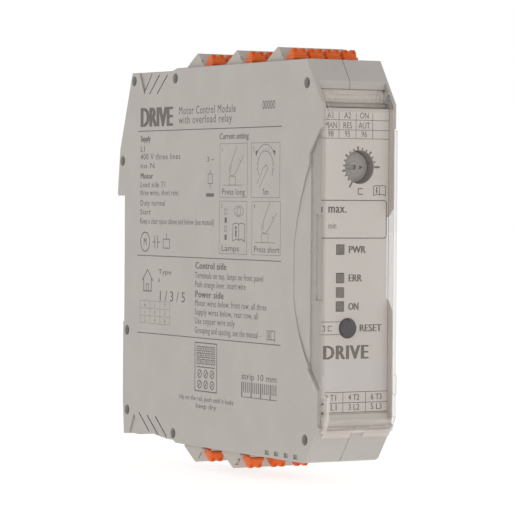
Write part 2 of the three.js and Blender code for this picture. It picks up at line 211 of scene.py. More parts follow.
def bevelled(obj, width, segments=2, angle=30):
    """Rounds the sharp edges of a workpiece."""
    modifier = obj.modifiers.new("edges", "BEVEL")
    modifier.width = width
    modifier.segments = segments
    modifier.limit_method = "ANGLE"
    modifier.angle_limit = math.radians(angle)
    modifier.use_clamp_overlap = False
    bake(obj)
    return obj


def smooth_faces(obj, angle=35):
    for polygon in obj.data.polygons:
        polygon.use_smooth = True
    obj.data.set_sharp_from_angle(angle=math.radians(angle))


def finish_piece(obj, name, material, body="housing", replaces=()):
    """Scales a workpiece to metres, names and dresses it, and lets it ride on its body."""
    obj.name = name
    obj.data.transform(Matrix.Scale(MM, 4))
    obj.data.name = name
    obj.data.materials.clear()
    obj.data.materials.append(material)
    placed(obj, body, replaces)


def placed(obj, body, replaces=()):
    """Lets a finished piece ride on its body, in the place of some CAD nodes."""
    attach(obj, body)
    if replaces:
        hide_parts(*replaces)


# ---------------- printing

class Print:
    """Ink on one flat face. As its reader sees it, u runs to the right and v up, in millimetres."""

    def __init__(self, name, origin, right, up):
        right, up = Vector(right).normalized(), Vector(up).normalized()
        self.name = name
        self.place = Matrix((right, up, right.cross(up))).transposed().to_4x4()
        self.place.translation = Vector(origin)
        self.bm = bmesh.new()
        self.start = Vector((0, 0))
        self.strokes = 0

    @contextmanager
    def at(self, u, v):
        """Inside a with block, everything is measured from the point (u, v)."""
        before = self.start
        self.start = before + Vector((u, v))
        yield
        self.start = before

    def level(self):
        """Top of the next stroke: neighbours differ a little, so that none lie in one plane."""
        self.strokes += 1
        return INK * (1 + 0.04 * (self.strokes % 5))

    def fill(self, outline):
        points = [(self.start.x + u, self.start.y + v) for u, v in outline]
        extrude(self.bm, points, AXIS_PLACES["z"], -INK / 2, self.level())

    def bar(self, u0, v0, u1, v1):
        self.fill(rectangle(u0, v0, u1, v1))

    def line(self, points, width, closed=False):
        """A drawn line, mitred at its corners."""
        points = [Vector(p) for p in points]
        count = len(points)
        sides = []
        for i, point in enumerate(points):
            before = points[i - 1] if closed or i > 0 else None
            after = points[(i + 1) % count] if closed or i < count - 1 else None
            ways = [(b - a).normalized() for a, b in ((before, point), (point, after)) if a and b]
            along = sum(ways, Vector((0, 0))).normalized()
            stretch = 1 / max(0.5, along.dot(ways[0]))
            across = Vector((-along.y, along.x)) * width / 2 * stretch
            sides.append((point + across, point - across))
        spans = range(count) if closed else range(1, count)
        for i in spans:
            (a, b), (c, d) = sides[i - 1], sides[i]
            self.fill([a, b, d, c])

    def frame(self, u0, v0, u1, v1, width=FRAME_LINE):
        self.line(rectangle(u0, v0, u1, v1), width, closed=True)

    def arc(self, u, v, radius, start, end, width):
        """Part of a circle, from one angle to another."""
        steps = max(6, round(abs(end - start) / 12))
        angles = [math.radians(start + (end - start) * i / steps) for i in range(steps + 1)]
        points = [(u + radius * math.cos(a), v + radius * math.sin(a)) for a in angles]
        whole = abs(end - start) >= 360
        self.line(points[:-1] if whole else points, width, closed=whole)

    def dot(self, u, v, radius):
        angles = [math.pi / 8 * i for i in range(16)]
        self.fill([(u + radius * math.cos(a), v + radius * math.sin(a)) for a in angles])

    def text(self, words, u, v, height, width=None, align="LEFT", weight=0.0, tracking=1.0):
        """Lettering whose baseline starts at (u, v); width is its whole length, where it matters.

        weight thickens the upright strokes by that many millimetres, and tracking spreads the letters.
        """
        curve = bpy.data.curves.new("words", "FONT")
        curve.body = words
        curve.size = height / CAPITAL
        curve.space_character = tracking
        curve.resolution_u = 2
        curve.extrude = INK / 2
        curve.align_x = align
        holder = bpy.data.objects.new("words", curve)
        mesh = bpy.data.meshes.new_from_object(holder)
        reach = [vertex.co.x for vertex in mesh.vertices]
        stretch = width / (max(reach) - min(reach)) if width else CONDENSED
        start = Matrix.Translation((self.start.x + u, self.start.y + v, self.level() - INK / 2))
        mesh.transform(start @ Matrix.Diagonal((stretch, 1, 1, 1)))
        copies = 1 + math.ceil(weight / 0.3)
        for _ in range(copies):
            self.bm.from_mesh(mesh)
            mesh.transform(Matrix.Translation((weight / max(1, copies - 1), 0, 0.04 * INK)))
        bpy.data.objects.remove(holder)
        bpy.data.curves.remove(curve)
        bpy.data.meshes.remove(mesh)

    def piece(self):
        """Everything drawn so far, as one finished piece on the housing."""
        bmesh.ops.remove_doubles(self.bm, verts=self.bm.verts, dist=INK / 20)
        self.bm.transform(self.place)
        finish_piece(workpiece(self.bm), self.name, INK_BROWN)


# ---------------- materials

def linear(red, green, blue):
    """The linear colour of 0..255 display values."""
    return tuple(((c / 255 + 0.055) / 1.055) ** 2.4 for c in (red, green, blue)) + (1,)


class Graph:
    """A node tree, with short ways to add and join nodes."""

    def __init__(self, tree):
        self.nodes, self.links = tree.nodes, tree.links

    def feed(self, socket, value):
        """Gives a socket a fixed value, or links another node's output to it."""
        if isinstance(value, bpy.types.NodeSocket):
            self.links.new(value, socket)
        else:
            socket.default_value = value

    def add(self, kind, inputs=None, **settings):
        """A new node; inputs holds a value or an output for each of its sockets that matters."""
        node = self.nodes.new("ShaderNode" + kind)
        for name, setting in settings.items():
            setattr(node, name, setting)
        for socket, value in (inputs or {}).items():
            self.feed(node.inputs[socket], value)
        return node

    def ramp(self, value, low, high, first, last):
        """Goes from first to last as the value goes from low to high, and stays there outside."""
        inputs = {"Value": value, "From Min": low, "From Max": high, "To Min": first, "To Max": last}
        return self.add("MapRange", inputs).outputs["Result"]

    def maths(self, operation, first, last):
        """One step of arithmetic."""
        return self.add("Math", {0: first, 1: last}, operation=operation).outputs["Value"]

    def parts_of(self, vector):
        return self.add("SeparateXYZ", {"Vector": vector}).outputs


class Look(Graph):
    """A node material whose pattern lies in object space, in metres."""

    def __init__(self, name):
        self.material = bpy.data.materials.new(name)
        self.material.use_nodes = True
        super().__init__(self.material.node_tree)
        self.shader = self.nodes["Principled BSDF"]
        self.where = self.add("TexCoord").outputs["Object"]

    def noise(self, size, detail=2.0, roughness=0.5):
        """Noise whose patches are about size millimetres across."""
        inputs = {"Vector": self.where, "Scale": 1 / (size * MM), "Detail": detail, "Roughness": roughness}
        return self.add("TexNoise", inputs).outputs["Fac"]

    def mix(self, factor, first, last):
        """Mixes two colours."""
        node = self.add("Mix", {"Factor": factor}, data_type="RGBA")
        for name, colour in (("A", first), ("B", last)):
            self.feed(next(s for s in node.inputs if s.name == name and s.type == "RGBA"), colour)
        return next(s for s in node.outputs if s.type == "RGBA")

    def shade(self, colour, share):
        """The colour made darker, or brighter with a share above 1."""
        return tuple(min(1, c * share) for c in colour[:3]) + (1,)

    def rounded(self, radius):
        """The normal that the surface would have if its edges were rounded by radius millimetres."""
        return self.add("Bevel", {"Radius": radius * MM}, samples=4).outputs["Normal"]

    def edges(self, radius):
        """1 on sharp edges and 0 on flats, from how far a rounded normal leans from the true one."""
        true = self.add("NewGeometry").outputs["Normal"]
        lean = self.add("VectorMath", {0: self.rounded(radius), 1: true}, operation="DOT_PRODUCT")
        return self.ramp(lean.outputs["Value"], 0.98, 0.8, 0, 1)

    def crevice(self, reach):
        """1 in the open and towards 0 deep in holes and gaps, within reach millimetres; it places painted
        shade.
        """
        node = self.add("AmbientOcclusion", {"Distance": reach * MM}, samples=6, only_local=True)
        return node.outputs["AO"]

    def bump(self, height, depth, rounding=0.0):
        """Raises the surface by up to depth millimetres, on edges that look rounded."""
        node = self.add("Bump", {"Distance": depth * MM, "Height": height})
        if rounding:
            self.feed(node.inputs["Normal"], self.rounded(rounding))
        self.set("Normal", node.outputs["Normal"])

    def set(self, socket, value):
        """Gives an input of the main shader a fixed value or another node's output."""
        self.feed(self.shader.inputs[socket], value)


def moulded_plastic(name, colour, roughness, grain=0.35, mottle=0.03, wear_and_edge_highlight=0.0, depth=0.006, shade=0.0,
                    rounding=0.0, label=None):
    """Moulded plastic: cloudy colour, fine spark-eroded grain, a painted highlight on edges and painted
    shade in crevices.

    label is another colour, for the faces that look forward.
    """
    look = Look(name)
    cloud = look.ramp(look.noise(9, 3), 0.35, 0.65, 0, 1)
    body = look.mix(cloud, look.shade(colour, 1 - mottle), look.shade(colour, 1 + mottle))
    speck = look.ramp(look.noise(0.5, 4, 0.7), 0.3, 0.7, 0, 0.5)
    body = look.mix(speck, body, look.shade(colour, 1 - 1.5 * mottle))
    if label:
        normal = look.parts_of(look.add("TexCoord").outputs["Normal"])
        body = look.mix(look.ramp(normal["Y"], -0.9, -0.5, 1, 0), body, label)
    # painted highlight: sharp edges are made paler, as where light would catch them
    if wear_and_edge_highlight:
        body = look.mix(look.ramp(look.edges(0.25), 0, 1, 0, wear_and_edge_highlight), body, look.shade(colour, 1.35))
    # painted shade: holes, gaps and corners are darkened as if light could not reach into them
    if shade:
        body = look.mix(look.ramp(look.crevice(1.8), 0.1, 0.7, shade, 0), body, look.shade(colour, 0.12))
    look.set("Base Color", body)
    look.set("Roughness", look.ramp(look.noise(1.2, 3), 0.3, 0.7, roughness - 0.06, roughness + 0.06))
    look.bump(look.noise(grain, 3, 0.6), depth, rounding)
    look.set("Specular IOR Level", 0.4)
    return look.material


def printed_ink(name, colour):
    """Screen-printed ink: a little uneven, and matt."""
    look = Look(name)
    cover = look.ramp(look.noise(0.6, 3), 0.3, 0.7, 0, 1)
    look.set("Base Color", look.mix(cover, look.shade(colour, 0.9), look.shade(colour, 1.15)))
    look.set("Roughness", look.ramp(look.noise(0.8), 0.3, 0.7, 0.55, 0.75))
    return look.material


def clear_plastic():
    """Clear polycarbonate: see-through, greyer and glossy at a slant, milky at the hinge, with a painted
    highlight as white haze along its edges.
    """
    look = Look("clear_polycarbonate")
    facing = look.add("LayerWeight", {"Blend": 0.5}).outputs["Facing"]
    place = look.parts_of(look.where)

    def span(axis, start, end, low, high):
        return look.ramp(place[axis], start * MM, end * MM, low, high)

    hinge, chin = COVER["hinge"], COVER["chin"]
    below_hinge = span("Z", hinge - 0.4, hinge, 1, 0.25)
    slanted = look.maths("MULTIPLY", look.ramp(facing, 0.15, 0.5, 0, 1), below_hinge)
    tint = look.mix(slanted, (0.972, 0.97, 0.965, 1), (0.845, 0.829, 0.817, 1))
    through = look.add("BsdfTransparent", {"Color": tint}).outputs["BSDF"]
    haze = look.add("BsdfDiffuse", {"Color": linear(242, 233, 226)}).outputs["BSDF"]
    gloss = look.add("BsdfGlossy", {"Roughness": 0.08}).outputs["BSDF"]
    barrel = span("Z", hinge, hinge + 0.2, 0, 0.12)
    slope = span("Z", chin + 0.1, chin - 0.5, 0, 0.12)
    tabs = span("Z", chin - 3.0, chin - 3.2, 0, 0.32)
    post = span("Z", -33.0, -33.4, 0, 0.4)
    for start, end, low, high in ((-10.25, -10.15, 0, 0.4), (-9.45, -9.35, 0.4, 0)):
        post = look.maths("MINIMUM", post, span("X", start, end, low, high))
    # painted highlight: the cover's edges turn to white haze, as where light catches them
    rim = look.maths("MULTIPLY", look.ramp(look.edges(0.5), 0, 0.7, 0, 0.6), below_hinge)
    haze_and_edge_highlight = look.ramp(look.noise(14, 2), 0.35, 0.65, 0.01, 0.03)
    for part in (barrel, slope, tabs, post, rim):
        haze_and_edge_highlight = look.maths("MAXIMUM", haze_and_edge_highlight, part)
    mirror = look.ramp(look.maths("POWER", facing, 4), 0, 1, 0.03, 0.5)
    outside = look.ramp(look.add("NewGeometry").outputs["Backfacing"], 0, 1, 1, 0)
    body = look.add("MixShader", {"Fac": haze_and_edge_highlight, 1: through, 2: haze}).outputs["Shader"]
    shine = look.maths("MULTIPLY", mirror, outside)
    surface = look.add("MixShader", {"Fac": shine, 1: body, 2: gloss}).outputs["Shader"]
    look.feed(look.nodes["Material Output"].inputs["Surface"], surface)
    return look.material


def metal(name, colour, roughness, scratch=0.2):
    """Rolled or drawn metal with fine uneven sheen."""
    look = Look(name)
    look.set("Base Color", look.mix(look.noise(2, 3), look.shade(colour, 0.85), look.shade(colour, 1.1)))
    look.set("Metallic", 1.0)
    wear_and_edge_highlight = look.noise(scratch, 4, 0.7)
    look.set("Roughness", look.ramp(wear_and_edge_highlight, 0.3, 0.7, roughness - 0.08, roughness + 0.1))
    look.bump(look.noise(scratch, 3), 0.003)
    return look.material


def circuit_board():
    """Green solder mask over a woven laminate, with paler copper runs under it."""
    look = Look("solder_mask")
    runs = look.add("TexBrick", {"Vector": look.where, "Scale": 1 / (7 * MM), "Mortar Size": 0.04})
    mask = look.mix(look.noise(4), linear(22, 84, 50), linear(30, 98, 60))
    look.set("Base Color", look.mix(runs.outputs["Fac"], mask, linear(64, 140, 80)))
    look.set("Roughness", 0.35)
    look.bump(look.noise(0.6, 2), 0.01)
    return look.material


# the edge and shade settings of these looks paint highlights on sharp edges and shade in crevices into their
# colours
HOUSING = moulded_plastic("housing_plastic_grey", linear(183, 177, 171), 0.6, wear_and_edge_highlight=0.2, shade=0.85,
                          rounding=0.15)
TERMINAL = moulded_plastic("terminal_plastic_grey", linear(186, 179, 171), 0.55, wear_and_edge_highlight=0.2, shade=0.85,
                           rounding=0.12)
PANEL = moulded_plastic("panel_plastic", linear(200, 196, 188), 0.55, mottle=0.015, shade=0.45,
                        label=linear(218, 211, 206))
# painted light: housing plastic made paler for the ledge, floor, ribs and sill, which sit in shade under the
# cover; it also has painted crevice shade
LIGHTENED_HOUSING = moulded_plastic("housing_plastic_painted_light", linear(205, 199, 192), 0.55, mottle=0.015, shade=0.3)
FIELD = moulded_plastic("blank_label", linear(216, 211, 211), 0.45, mottle=0.01)
ORANGE = moulded_plastic("lever_orange", linear(229, 101, 26), 0.42, grain=0.2, wear_and_edge_highlight=0.1, shade=0.8)
DIAL_GREY = moulded_plastic("dial_grey", linear(178, 174, 170), 0.48, grain=0.2, shade=0.5)
# painted shade: a darker grey for the window panes, for the shade inside the windows
WINDOW_SHADE_GREY = moulded_plastic("window_shade_grey", linear(154, 150, 143), 0.5, grain=0.2)
# painted shade: the dark grey of the dial well's lining
WELL_SHADE_GREY = moulded_plastic("dial_well_grey", linear(142, 132, 130), 0.5, grain=0.2)
CHARCOAL = moulded_plastic("button_charcoal", linear(60, 57, 66), 0.45, grain=0.2)
LAMP_GREY = moulded_plastic("lamp_smoke", linear(116, 110, 104), 0.3, grain=1.0, depth=0.002)
BLACK = moulded_plastic("component_black", linear(38, 38, 42), 0.5, grain=0.3)
SLEEVE = moulded_plastic("capacitor_sleeve", linear(34, 40, 60), 0.3, grain=1.2)
INK_BROWN = printed_ink("ink_brown_grey", linear(106, 100, 95))
CLEAR = clear_plastic()
COPPER = metal("tinned_copper", linear(205, 160, 112), 0.3)
ALUMINIUM = metal("drawn_aluminium", linear(200, 202, 205), 0.35)
TIN = metal("solder_tin", linear(205, 205, 205), 0.25, scratch=0.5)
BOARD = circuit_board()


# ---------------- clear cover

def cover_shell():
    """Front pane and two side skirts, one U-shaped moulding with round corners."""
    half, front, back = COVER["half"], COVER["front"], COVER["back"]
    inner, pane = half - COVER["wall"], COVER["pane"]
    section = [(-half, back), (-half, front), (half, front), (half, back),
               (inner, back), (inner, front + pane), (-inner, front + pane), (-inner, back)]
    radii = [0, COVER["corner"], COVER["corner"], 0, 0, 0.4, 0.4, 0]
    shell = prism("z", fillet(section, radii, 5), COVER["chin"], COVER["shoulder"])
    side = [(front - 1, COVER["chin"] - 1), (-108.2, COVER["chin"] - 1), (-108.2, -31.4), (back, -26.1),
            (back, 28.9), (-108.5, COVER["shoulder"] + 1), (front - 1, COVER["shoulder"] + 1)]
    profile = prism("x", fillet(side, [0, 0, 1.2, 0.8, 0.8, 0, 0]), -12, 12)
    return combine(shell, profile, operation="INTERSECT")


def cover_tongue():
    """The pane's slope up to the hinge, with a round knuckle on either side and a pin through both."""
    hinge = Vector(next(j for j in frame["joints"] if j["name"] == "cover_hinge")["pos_m"]) / MM
    front, start, reach = COVER["front"], COVER["shoulder"] - 0.6, 9.9
    inside = front + COVER["pane"]
    slope = [(front, start), (inside, start), (inside, 39.6), (-107.4, COVER["hinge"]), (-107.4, 43.0),
             (-108.3, 43.0), (front, 40.4)]
    tongue = prism("x", fillet(slope, [0, 0, 0.6, 0.2, 0, 0.5, 0.9]), -reach, reach)
    half_turn = [math.pi * i / 10 for i in range(-5, 6)]
    knuckle = [(hinge.y - 1.6 * math.cos(a), hinge.z + 1.6 * math.sin(a)) for a in half_turn]
    knuckle += [(hinge.y + 0.9, hinge.z + 1.3), (hinge.y + 0.9, hinge.z - 1.3)]
    knuckles = [prism("x", knuckle, side * 6.9, side * reach) for side in (-1, 1)]
    pin = revolve("x", hinge.y, hinge.z, [(0.6, -10.7), (0.8, -10.5), (0.8, 10.5), (0.6, 10.7)], 24)
    return combine(tongue, *knuckles, pin)


def cover_chin():
    """The pane's slope back under the panel, with two pads and two finger tabs."""
    front, top, low = COVER["front"], COVER["chin"] + 0.6, COVER["chin"]
    inside = front + COVER["pane"]
    slope = [(front, top), (front, low), (-108.95, -42.5), (-108.3, -42.5), (-109.1, -40.6), (inside, low),
             (inside, top)]
    chin = prism("x", slope, -10.7, 10.7)
    tab = [(-108.95, -41.9), (-107.75, -43.95), (-107.1, -43.55), (-108.3, -41.9)]
    pad = [(-110.35, -39.6), (-109.85, -41.1), (-109.3, -40.9), (-109.8, -39.4)]
    tabs = [prism("x", fillet(tab, 0.15, 2), *ends) for ends in ((-9.7, -1.5), (2.5, 10.3))]
    pads = [prism("x", fillet(pad, 0.12, 2), *ends) for ends in ((-10.2, -4.7), (3.4, 9.4))]
    return combine(chin, *tabs, *pads)


def clear_cover():
    """The whole cover: shell, tongue and chin, with a stiffening lug low on either skirt."""
    shell = cover_shell()
    front, back, low, high = COVER["front"] + 0.25, -108.4, -33, -27.8
    outline = fillet(rectangle(front, low, back, high), 0.5)
    lugs = [prism("x", outline, side * 10.4, side * 11.15) for side in (-1, 1)]
    cover = combine(shell, cover_tongue(), cover_chin(), *lugs)
    bevelled(cover, 0.1, 2, 25)
    smooth_faces(cover, 40)
    finish_piece(cover, "clear_cover", CLEAR, "cover", ["front_cover"])


# ---------------- controls

def setting_dial():
    """Round screwdriver dial with a slot, an engraved ring and an arrow towards the scale's end."""
    low, high = node_box("setting_dial")
    x, z, face, rear = DIAL.x, DIAL.z, low.y, low.y + 1.5
    radius = (high.x - low.x) / 2
    disc = revolve("y", x, z, [
        (radius - 0.5, face), (radius - 0.15, face + 0.12), (radius, face + 0.45), (radius, rear - 0.1),
        (radius - 0.1, rear), (1.5, rear), (1.5, high.y - 0.3), (1.2, high.y)])
    slot = block(x - 2.9, x + 0.5, face - 1, face + 0.7, z - 0.6, z + 0.6)
    arrow = prism("y", [(x + 1.5, z - 0.55), (x + 2.6, z), (x + 1.5, z + 0.55)], face - 1, face + 0.6)
    ring = revolve("y", x - 0.5, z, [(1.75, face - 1), (1.75, face + 0.14)])
    core = revolve("y", x - 0.5, z, [(1.5, face - 2), (1.5, face + 1)])
    groove = combine(ring, core, operation="DIFFERENCE")
    notches = []
    for i in range(24):
        a = 2 * math.pi * i / 24
        u, v = x + (radius + 0.12) * math.cos(a), z + (radius + 0.12) * math.sin(a)
        notches.append(revolve("y", u, v, [(0.28, face - 1), (0.28, rear + 0.1)], 10))
    combine(disc, slot, arrow, groove, *notches, operation="DIFFERENCE")
    bevelled(disc, 0.05, 1, 40)
    smooth_faces(disc, 30)
    finish_piece(disc, "dial_knob", DIAL_GREY, "dial", ["setting_dial"])


def dial_well():
    """Dark lining round the inside of the dial's well: painted shade on the well's wall."""
    inner, outer = 4.22, 4.38
    tube = revolve("y", DIAL.x, DIAL.z, [(outer, FACE_Y + 0.12), (outer, -102.6)])
    bore = revolve("y", DIAL.x, DIAL.z, [(inner, FACE_Y - 1), (inner, -102)])
    combine(tube, bore, operation="DIFFERENCE")
    smooth_faces(tube, 30)
    finish_piece(tube, "dial_well_shade_lining", WELL_SHADE_GREY)


def reset_button():
    """Round button with a softly domed, slightly dished face, on a wider flange."""
    low, high = node_box("reset_button")
    front, rear = low.y, high.y
    cap, flange = 2.3, 3.1
    profile = [(0.05, front + 0.16), (1.0, front + 0.12), (1.5, front + 0.02), (1.75, front),
               (2.0, front + 0.1), (2.2, front + 0.35), (cap, front + 0.8), (cap, rear - 0.75),
               (flange - 0.15, rear - 0.7), (flange, rear - 0.55), (flange, rear)]
    button = revolve("y", RESET.x, RESET.z, profile, 64)
    smooth_faces(button, 40)
    finish_piece(button, "reset_cap", CHARCOAL, "reset", ["reset_button"])


# ---------------- release levers

def lever_shape():
    """One lever about the middle of its block's ridge: leaning head, two horns, dimples and stem."""
    side = [(-8, -3.3), (-3.85, -3.3), (-3.85, -2.9), (-6, -0.5), (-6.95, -0.5), (-7.45, -2.45), (-8, -2.6)]
    horn = [(2.13, -2.55), (2.0, -2.4), (2.0, -1.2), (1.75, -0.5), (0.75, -0.5), (0, -1.2)]
    front = [(-2.13, -3.3), (2.13, -3.3), *horn, *[(-u, v) for u, v in reversed(horn[:-1])]]
    radii = [0, 0, 0.1, 0.1, 0.3, 0.22, 0.2, 0.15, 0.2, 0.22, 0.3, 0.1, 0.1]
    head = prism("x", fillet(side, [0, 0, 0.1, 0.35, 0.3, 0.2, 0.1], 3), -3, 3)
    combine(head, prism("y", fillet(front, radii, 4), -9, -3), operation="INTERSECT")
    bevelled(head, 0.08, 2, 40)
    dimples = []
    for x in (-1.22, 1.22):
        bm = bmesh.new()
        bmesh.ops.create_uvsphere(bm, u_segments=16, v_segments=10, radius=0.5)
        bmesh.ops.translate(bm, verts=bm.verts, vec=(x, -7.3, -1.15))
        dimples.append(workpiece(bm))
    combine(head, *dimples, operation="DIFFERENCE")
    stem = bevelled(block(-1.6, 1.6, -7.2, -4.6, -12, -3.2), 0.12, 2)
    tip = prism("y", [(-2.13, -3.6), (2.13, -3.6), (2.13, -3.28), (-2.13, -3.28)], -7.6, -4.2)
    combine(head, stem, tip)
    smooth_faces(head, 35)
    head.data.transform(Matrix.Scale(MM, 4))
    head.data.materials.append(ORANGE)
    return head


def release_levers():
    """Eighteen copies of one lever; the lower ones are turned upside down."""
    pattern = lever_shape()
    for name in sorted(n for n in nodes if "_lever_" in n):
        low, high = node_box(name)
        top = name.startswith("top")
        ridge_z = high.z + 0.5 if top else low.z - 0.5
        lever = bpy.data.objects.new(name.replace("_lever_", "_orange_lever_"), pattern.data)
        bpy.context.scene.collection.objects.link(lever)
        turn = Matrix.Identity(4) if top else Matrix.Rotation(math.pi, 4, "Y")
        spot = Vector(((low.x + high.x) / 2, low.y + 8, ridge_z)) * MM
        lever.matrix_world = Matrix.Translation(spot) @ turn
        placed(lever, f"{name}_body", [name])
    bpy.data.objects.remove(pattern)


# ---------------- carried-over CAD nodes

def soften(node, width):
    """Rounds a CAD node's edges with modifiers; its own mesh stays as packed."""
    obj = nodes[node]
    weld = obj.modifiers.new("weld", "WELD")
    weld.merge_threshold = 0.005 * MM
    edges = obj.modifiers.new("edges", "BEVEL")
    edges.width = width * MM
    edges.segments = 2
    edges.limit_method = "ANGLE"
    edges.angle_limit = math.radians(25)
    edges.use_clamp_overlap = False
    for polygon in obj.data.polygons:
        polygon.use_smooth = False


def dress(material, width, *starts):
    """Gives the CAD nodes whose names start so a material and rounded edges."""
    for name in [n for n in nodes if n.startswith(starts)]:
        nodes[name].data.materials.clear()
        nodes[name].data.materials.append(material)
        if width:
            soften(name, width)


def dress_nodes():
    dress(HOUSING, 0, "left_shell", "right_shell")
    dress(TERMINAL, 0.06, "top_terminal", "bottom_terminal")
    dress(HOUSING, 0.25, "din_foot")
    dress(PANEL, 0.08, "front_panel")
    dress(LAMP_GREY, 0.12, "light_pipe")
    dress(COPPER, 0.08, "power_clamp")
    dress(BOARD, 0.05, "main_board", "control_board")
    dress(ALUMINIUM, 0.1, "heat_sink")
    dress(SLEEVE, 0.4, "capacitor")
    dress(BLACK, 0.2, "relay", "transistor", "current_sensor", "supply_transformer", "board_connector",
          "pin_header", "potentiometer", "reset_switch")


# ---------------- small parts of the housing

def housing_strip(name, outline, x0, x1, material=HOUSING):
    """A strip across the housing, from its side view (y, z)."""
    strip = bevelled(prism("x", outline, x0, x1), 0.04, 1)
    finish_piece(strip, name, material)


def seam_lips():
    """Thin lips that close the joint between the two shells, just under the surface."""
    upper = [(-96.5, 53.28), (-101.18, 53.28), (-104.9, 47.75), (-104.88, 45.82), (-104.18, 45.6),
             (-104.18, 41.2), (-103.7, 41.2), (-103.7, 45.9), (-104.4, 46.1), (-104.4, 47.5),
             (-100.95, 52.8), (-96.5, 52.8)]
    lower = [(-107.96, -41.65), (-106.03, -43.91), (-101.54, -50.01), (-100.26, -50.52), (-96, -50.52),
             (-96, -50), (-100, -50), (-101.1, -49.6), (-105.6, -43.6), (-107.4, -41.6)]
    seam = (node_box("left_shell")[1].x + node_box("right_shell")[0].x) / 2
    for name, outline in (("seam_lip_upper", upper), ("seam_lip_lower", lower)):
        housing_strip(name, outline, seam - 0.13, seam + 0.13)


def terminal_ridges():
    """Solid crests in front of the wire funnels of the terminal blocks."""
    for row, blocks, up in (("top", TOP_BLOCKS, 1), ("bottom", BOTTOM_BLOCKS, -1)):
        for number, (low, high) in enumerate(blocks):
            y = low.y + RIDGE_BACK
            z = high.z if up > 0 else low.z
            crest = [(y - 1.1, z - 1.27 * up), (y - 0.05, z - 0.02 * up), (y - 0.05, z - 1.27 * up)]
            strip = prism("x", crest, low.x + 0.3, high.x - 0.3)
            name = f"{row}_terminal_crest_{number + 1}"
            finish_piece(strip, name, TERMINAL)


def window_panes():
    """Grey panes set back in the four small windows low in each side wall; their darker grey is painted
    shade inside the windows.
    """
    bottom = node_box("left_shell")[0].z
    for side in (-1, 1):
        x0, x1 = side * (HALF_WIDTH - 0.6), side * (HALF_WIDTH - 0.35)
        for number, y in enumerate((-96.9, -92.1, -87.1, -82.3)):
            pane = block(x0, x1, y - 1.04, y + 1.04, bottom + 0.76, bottom + 1.89)
            name = f"{'left' if side < 0 else 'right'}_window_pane_{number + 1}"
            finish_piece(pane, name, WINDOW_SHADE_GREY)


def panel_surround():
    """Ledge and floor under the hinge, ribs right of the label, sill and stop pips below it. All but the
    pips are in a paler housing plastic: painted light where they sit in shade.
    """
    ledge = [(-104.4, 41.05), (-106.0, 41.05), (-105.4, 42.0), (-104.4, 42.0)]
    # the floor is a pale sheet just in front of the recess's back wall: painted light in the recess's shade
    floor = [(-104.31, 42.1), (-104.4, 42.1), (-104.4, 45.6), (-104.31, 45.6)]
    housing_strip("hinge_ledge", ledge, -9.9, 9.9, LIGHTENED_HOUSING)
    housing_strip("hinge_floor", floor, -9.9, 9.9, LIGHTENED_HOUSING)
    upper = [(-105, 40.6), (-109.0, 40.6), (-109.6, 34.5), (-109.6, 15.1), (-107.2, 12.9), (-105, 12.9)]
    lower = [(-105, -8.5), (-107.4, -8.5), (-109.4, -11.5), (-109.4, -39.5), (-105, -39.5)]
    for name, outline in (("label_rib_upper", upper), ("label_rib_lower", lower)):
        housing_strip(name, outline, 10.13, 10.27, LIGHTENED_HOUSING)
    sill = [(FACE_Y - 0.02, -37.5), (-107.75, -37.8), (-107.95, -41.2), (FACE_Y - 0.02, -41.2)]
    housing_strip("panel_sill", sill, -10.05, 10.05, LIGHTENED_HOUSING)
    for i, z in enumerate((-35.0, -37.3)):
        outline = fillet(rectangle(-9.9, z - 0.25, -9.4, z + 0.25), 0.2)
        pip = prism("y", outline, FACE_Y - 0.5, FACE_Y - 0.02)
        finish_piece(pip, f"stop_pip_{i + 1}", BLACK)


# ---------------- parts inside

def control_clamps():
    """Spring clamps of the twelve upper terminals: a current bar with an upright and a leg."""
    shape = [(-3.4, -15.6), (3.0, -15.6), (3.0, -9.9), (2.5, -9.4), (1.9, -9.9), (-2.0, -14.1),
             (-1.7, -14.5), (2.2, -10.4), (2.4, -10.6), (2.4, -15.1), (-3.4, -15.1)]
    for row, (low, high) in enumerate(TOP_BLOCKS):
        for pole in range(TOP_POLES):
            x = (pole - 1.5) * TOP_PITCH
            outline = [(low.y + RIDGE_BACK + u, high.z + v) for u, v in shape]
            clamp = bevelled(prism("x", outline, x - 1.3, x + 1.3), 0.06, 1)
            name = f"control_clamp_{row * TOP_POLES + pole + 1}"
            finish_piece(clamp, name, COPPER)


def board_parts():
    """Chips with legs, resistors and solder joints on the face of the main board."""
    random.seed(7)
    face = node_box("main_board")[0].x
    chips, legs, joints = bmesh.new(), bmesh.new(), bmesh.new()

    def add_block(bm, height, foot, y, z, wide, tall):
        """A block between height and foot in front of the board, wide by tall about (y, z)."""
        outline = rectangle(y - wide / 2, z - tall / 2, y + wide / 2, z + tall / 2)
        extrude(bm, outline, AXIS_PLACES["x"], face - height, face - foot)

    sizes = ((-88, 20, 7, 7), (-88, -8, 5, 9), (-70, 24, 4, 6), (-52, 25, 5, 4), (-34, 20, 4, 5))
    for y, z, wide, tall in sizes:
        add_block(chips, 1.0, 0.15, y, z, wide, tall)
        for i in range(int(tall / 0.9)):
            leg = z - tall / 2 + 0.5 + 0.9 * i
            for side in (-1, 1):
                add_block(legs, 0.35, 0.02, y + side * (wide / 2 + 0.4), leg, 0.8, 0.36)
    for i in range(40):
        y, z = -94 + 2.05 * i, random.choice((31, 33.5, 36, -33, -35.5))
        add_block(chips, 0.5, 0.1, y, z, 0.7, 1.2)
        for side in (-1, 1):
            add_block(joints, 0.4, 0.02, y, z + side * 0.75, 0.76, 0.28)
    finish_piece(workpiece(chips), "board_chips", BLACK)
    finish_piece(workpiece(legs), "chip_legs", TIN)
    finish_piece(workpiece(joints), "solder_joints", TIN)


# ---------------- print on the front panel

